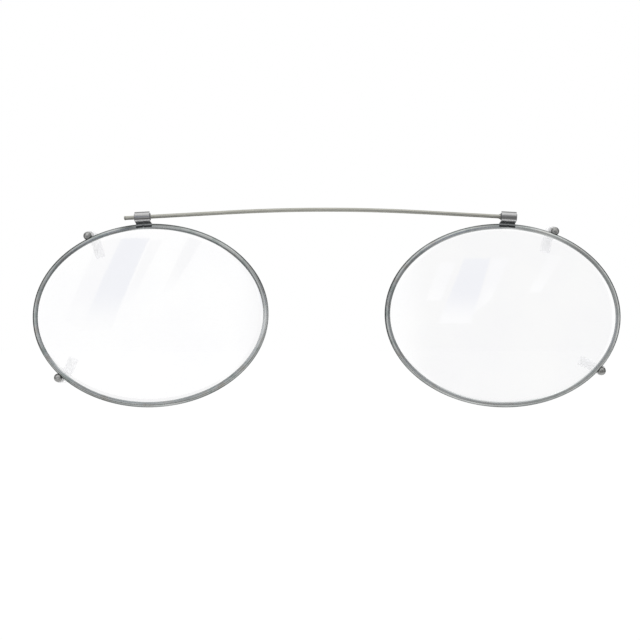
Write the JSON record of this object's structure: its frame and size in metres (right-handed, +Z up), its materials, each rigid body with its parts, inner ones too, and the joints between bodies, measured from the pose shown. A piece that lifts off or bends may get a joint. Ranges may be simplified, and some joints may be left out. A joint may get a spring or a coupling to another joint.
{
  "type": "clip-on glasses",
  "caption": "Clip-on glasses: oval clear lenses in thin metal rims hung from a bowed spring bar, with sleeved claws that hook on spectacles.",
  "frame": {"origin": "middle of the bridge bar, on its centre line", "axes": "+X to the right seen from the front, -Y the front of the lenses, +Z up as worn"},
  "size_m": [0.1178, 0.0084, 0.0399],
  "materials": {
    "bar_metal": "springy alloy wire, satin, warm grey",
    "barrel_metal": "plated, satin, neutral grey",
    "rim_metal": "antique pewter plating, satin",
    "claw_metal": "plated wire with a braze bead",
    "lens_plastic": "clear, polished, faint bluish reflections",
    "sleeve_plastic": "soft clear tube",
    "liner_plastic": "black, low friction"
  },
  "bodies": {
    "bridge": {"bridge_bar": "bar_metal", "right_liner": "liner_plastic"},
    "left_slider": {"left_liner": "liner_plastic"},
    "left_lens_unit": {"left_barrel": "barrel_metal", "left_eyewire": "rim_metal", "left_lens": "lens_plastic", "upper_left_claw_wire": "claw_metal", "lower_left_claw_wire": "claw_metal", "upper_left_claw_sleeve": "sleeve_plastic", "lower_left_claw_sleeve": "sleeve_plastic"},
    "right_lens_unit": {"right_barrel": "barrel_metal", "right_eyewire": "rim_metal", "right_lens": "lens_plastic", "upper_right_claw_wire": "claw_metal", "lower_right_claw_wire": "claw_metal", "upper_right_claw_sleeve": "sleeve_plastic", "lower_right_claw_sleeve": "sleeve_plastic"}
  },
  "joints": [
    {"name": "left_slide", "type": "slide", "parent": "bridge", "child": "left_slider", "axis": [-0.9985, 0, -0.0549], "range_m": [-0.005, 0.002]},
    {"name": "left_swing", "type": "hinge", "parent": "left_slider", "child": "left_lens_unit", "pos_m": [-0.03685, 0, -0.00149], "axis": [0.9985, 0, 0.0549], "range_deg": [-20, 20]},
    {"name": "right_swing", "type": "hinge", "parent": "bridge", "child": "right_lens_unit", "pos_m": [0.0364, 0, -0.00147], "axis": [0.9985, 0, -0.0549], "range_deg": [-20, 20]}
  ]
}
